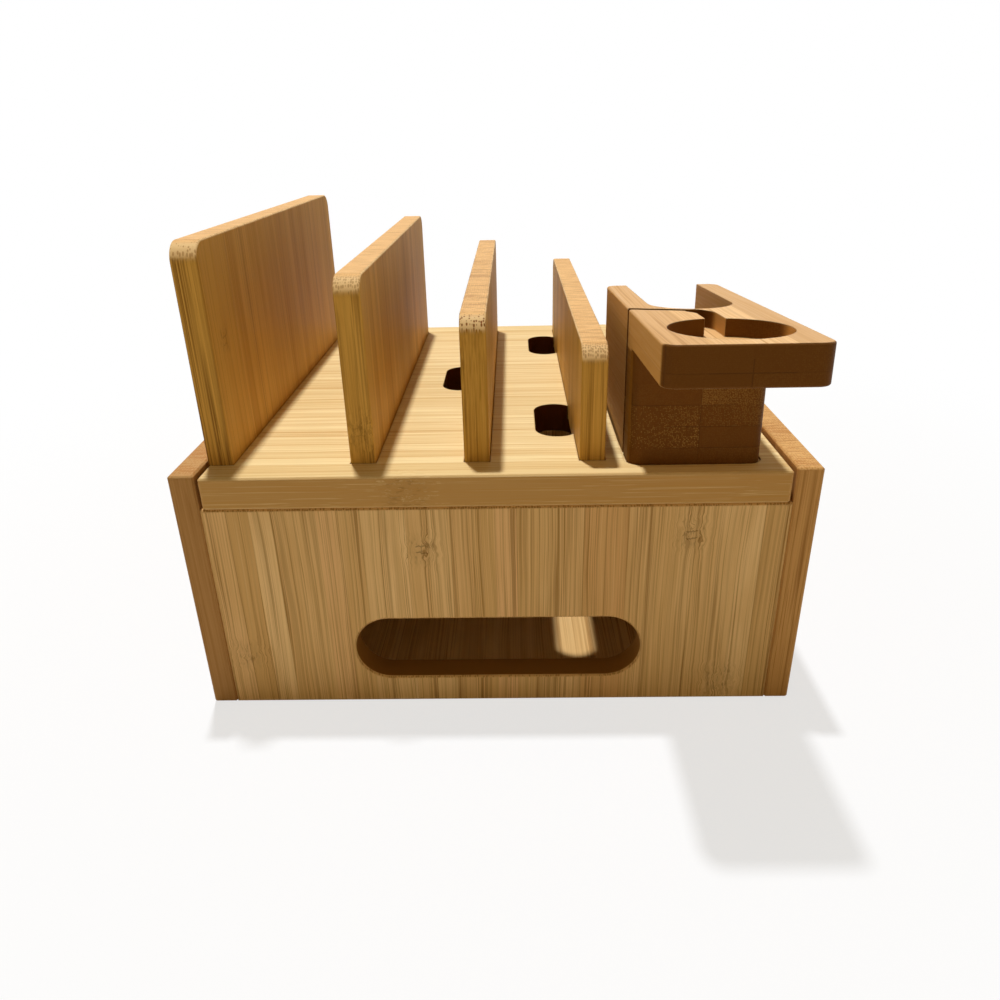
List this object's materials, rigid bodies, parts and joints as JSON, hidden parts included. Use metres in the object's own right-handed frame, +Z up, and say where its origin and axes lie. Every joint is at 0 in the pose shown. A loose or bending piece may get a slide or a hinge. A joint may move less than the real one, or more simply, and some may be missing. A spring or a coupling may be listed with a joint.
{
  "type": "charging station organizer",
  "caption": "Bamboo charging station: a lidded cable box with grooved upright dividers for tablets and phones, and a raised stand for a watch puck and an earbud case.",
  "frame": {"origin": "centre of the box's bottom face, on the surface that the box stands on", "axes": "+X to the user's right along the front wall, +Y from the front wall to the rear wall, +Z up"},
  "size_m": [0.2, 0.2381, 0.1535],
  "materials": {
    "bamboo_lid": "smooth sanded with a thin clear oil",
    "bamboo_walls": "smooth sanded with a thin clear oil",
    "bamboo_sides": "smooth sanded with a thin clear oil",
    "bamboo_dividers": "smooth sanded with a thin clear oil",
    "bamboo_stand": "smooth sanded with a thin clear oil",
    "bamboo_inner": "smooth sanded with a thin clear oil",
    "dowel_wood": "smooth sanded with a thin clear oil"
  },
  "bodies": {
    "box": {"front_panel": "bamboo_walls", "rear_panel": "bamboo_walls", "left_side_panel": "bamboo_sides", "right_side_panel": "bamboo_sides", "floor_panel": "bamboo_inner", "corner_dowels": "dowel_wood"},
    "lid": {"lid_board": "bamboo_lid", "front_batten": "bamboo_inner", "rear_batten": "bamboo_inner"},
    "tallest_divider": {"divider_tallest": "bamboo_dividers"},
    "tall_divider": {"divider_tall": "bamboo_dividers"},
    "short_divider": {"divider_short": "bamboo_dividers"},
    "shortest_divider": {"divider_shortest": "bamboo_dividers"},
    "stand": {"device_stand": "bamboo_stand"}
  },
  "joints": [
    {"name": "lid_lift", "type": "slide", "parent": "box", "child": "lid", "axis": [0, 0, 1], "range_m": [0, 0.05]},
    {"name": "tallest_divider_lift", "type": "slide", "parent": "lid", "child": "tallest_divider", "axis": [0, 0, 1], "range_m": [0, 0.03]},
    {"name": "tall_divider_lift", "type": "slide", "parent": "lid", "child": "tall_divider", "axis": [0, 0, 1], "range_m": [0, 0.03]},
    {"name": "short_divider_lift", "type": "slide", "parent": "lid", "child": "short_divider", "axis": [0, 0, 1], "range_m": [0, 0.03]},
    {"name": "shortest_divider_lift", "type": "slide", "parent": "lid", "child": "shortest_divider", "axis": [0, 0, 1], "range_m": [0, 0.03]},
    {"name": "stand_lift", "type": "slide", "parent": "lid", "child": "stand", "axis": [0, 0.0628, 0.998], "range_m": [0, 0.03]}
  ]
}
